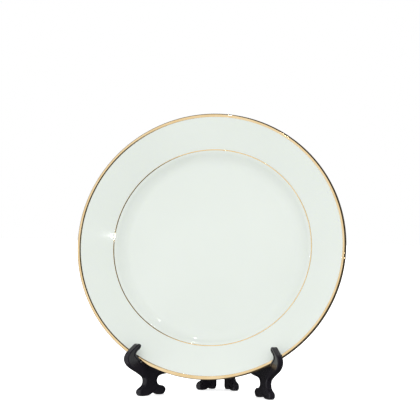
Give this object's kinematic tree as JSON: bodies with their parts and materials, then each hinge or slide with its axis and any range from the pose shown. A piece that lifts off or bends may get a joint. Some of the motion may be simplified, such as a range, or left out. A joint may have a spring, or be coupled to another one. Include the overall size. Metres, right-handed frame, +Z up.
{
  "type": "dinner plate on a folding display stand",
  "caption": "Gilt-edged white china dinner plate resting in a folding plastic display stand, two hooked leaves hinged at the back on a steel pin.",
  "frame": {"origin": "middle of the footprint at floor level, on the plane the stand's toes rest on", "axes": "+Z up; the plate's face looks towards -Y and a little upwards; +X is to the right of somebody facing the plate"},
  "size_m": [0.267, 0.1524, 0.2798],
  "materials": {
    "porcelain": "clear gloss glaze",
    "gilding": "burnished gilding fired on the glaze",
    "stand_plastic": "moulded, glossy black",
    "pin_steel": "plain drawn steel"
  },
  "bodies": {
    "stand": {"left_leaf": "stand_plastic", "hinge_pin": "pin_steel"},
    "folding_leaf": {"right_leaf": "stand_plastic"},
    "plate": {"plate_body": "porcelain", "gilt_rim_band": "gilding", "gilt_verge_line": "gilding"}
  },
  "joints": [
    {"name": "plate_lift", "type": "slide", "parent": "stand", "child": "plate", "axis": [0, 0.0698, 0.9976], "range_m": [0, 0.32]},
    {"name": "leaf_fold", "type": "hinge", "parent": "stand", "child": "folding_leaf", "pos_m": [0, 0.07133, 0.0372], "axis": [0, 0, -1], "range_deg": [0, 52]}
  ],
  "couplings": [
    {"joint": "leaf_fold", "follows": "plate_lift", "rad_per_m": 2.836}
  ]
}
